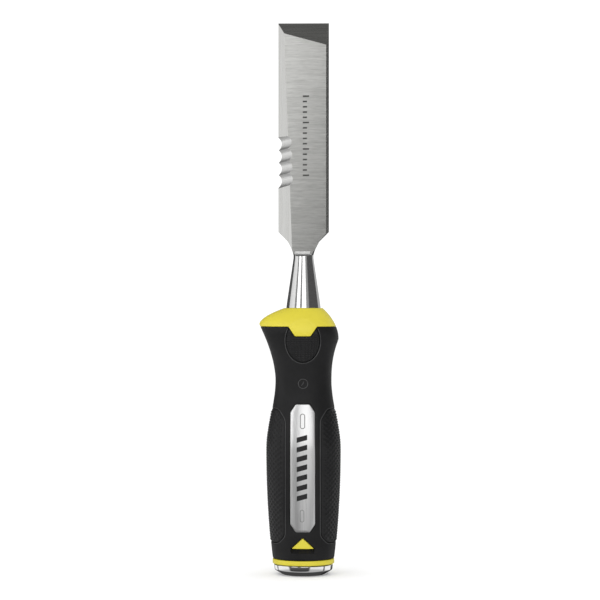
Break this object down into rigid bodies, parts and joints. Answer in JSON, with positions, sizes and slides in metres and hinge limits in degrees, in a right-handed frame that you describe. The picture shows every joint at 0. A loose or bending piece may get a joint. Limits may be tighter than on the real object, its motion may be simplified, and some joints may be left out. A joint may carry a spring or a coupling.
{
  "type": "bench chisel",
  "caption": "Through-tang bench chisel with a fluted side edge, thick spine, cone bolster, soft-grip handle with inset pads and nameplates, and a steel strike cap.",
  "frame": {"origin": "centre of the strike cap's flat striking face, on the axis of the handle and tang", "axes": "+Z along the tool from the strike cap to the cutting edge; +Y out of the flat back of the blade, so the ground face looks along -Y; +X towards the thick spine of the blade, with the thin fluted edge at -X"},
  "size_m": [0.0399, 0.0318, 0.2718],
  "materials": {
    "tool_steel": "ground across the blade, polished on the bolster",
    "hard_yellow_plastic": "satin moulded",
    "soft_black_grip": "fine-grained soft overmould",
    "textured_grip": "moulded studs and ribs",
    "brushed_plate": "lengthwise brushed with dark printed marks",
    "washer_steel": "plain zinc plated",
    "polished_steel": "polished"
  },
  "bodies": {
    "root": {"blade": "tool_steel", "handle_core": "hard_yellow_plastic", "grip_sleeve": "soft_black_grip", "grip_pad_left": "textured_grip", "grip_pad_right": "textured_grip", "thumb_pad_front": "textured_grip", "thumb_pad_rear": "textured_grip", "nameplate_front": "brushed_plate", "nameplate_rear": "brushed_plate", "end_ring": "hard_yellow_plastic", "cap_washer": "washer_steel", "strike_cap": "polished_steel"}
  },
  "joints": []
}
